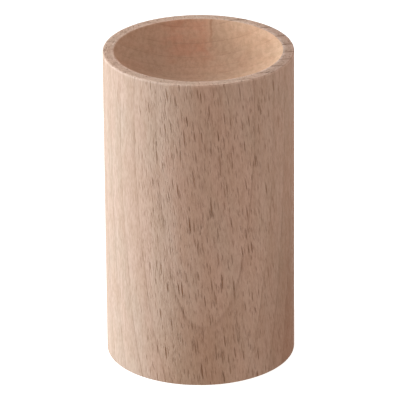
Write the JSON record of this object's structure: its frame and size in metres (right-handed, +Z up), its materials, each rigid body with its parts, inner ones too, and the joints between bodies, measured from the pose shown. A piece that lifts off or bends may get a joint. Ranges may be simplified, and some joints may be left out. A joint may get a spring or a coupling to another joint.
{
  "type": "needle case",
  "caption": "Upright turned beech needle case: a shallow dished top with a hidden magnet, a plain cylindrical side, and a needle chamber closed from below by a recessed pull-out plug.",
  "frame": {"origin": "centre of the base, on the plane the case stands on", "axes": "+Z up the case's axis, which is the axis of turning; +X and +Y are across it, with -Y towards the front, where the grain makes its arch"},
  "size_m": [0.035, 0.035, 0.0595],
  "materials": {
    "beech": "unfinished fine-sanded beech, matte",
    "plug_beech": "unfinished fine-sanded beech, matte",
    "cork": "fine agglomerated cork, matte",
    "ring_rubber": "black moulded rubber, satin",
    "nickel_plate": "bright nickel plating on a pressed magnet"
  },
  "bodies": {
    "plug": {"base_plug": "plug_beech", "plug_ring": "ring_rubber", "tip_pad": "cork"},
    "case": {"case_body": "beech", "dish_magnet": "nickel_plate", "magnet_cover": "cork"}
  },
  "joints": [
    {"name": "case_lift", "type": "slide", "parent": "plug", "child": "case", "axis": [0, 0, 1], "range_m": [0, 0.03]}
  ]
}
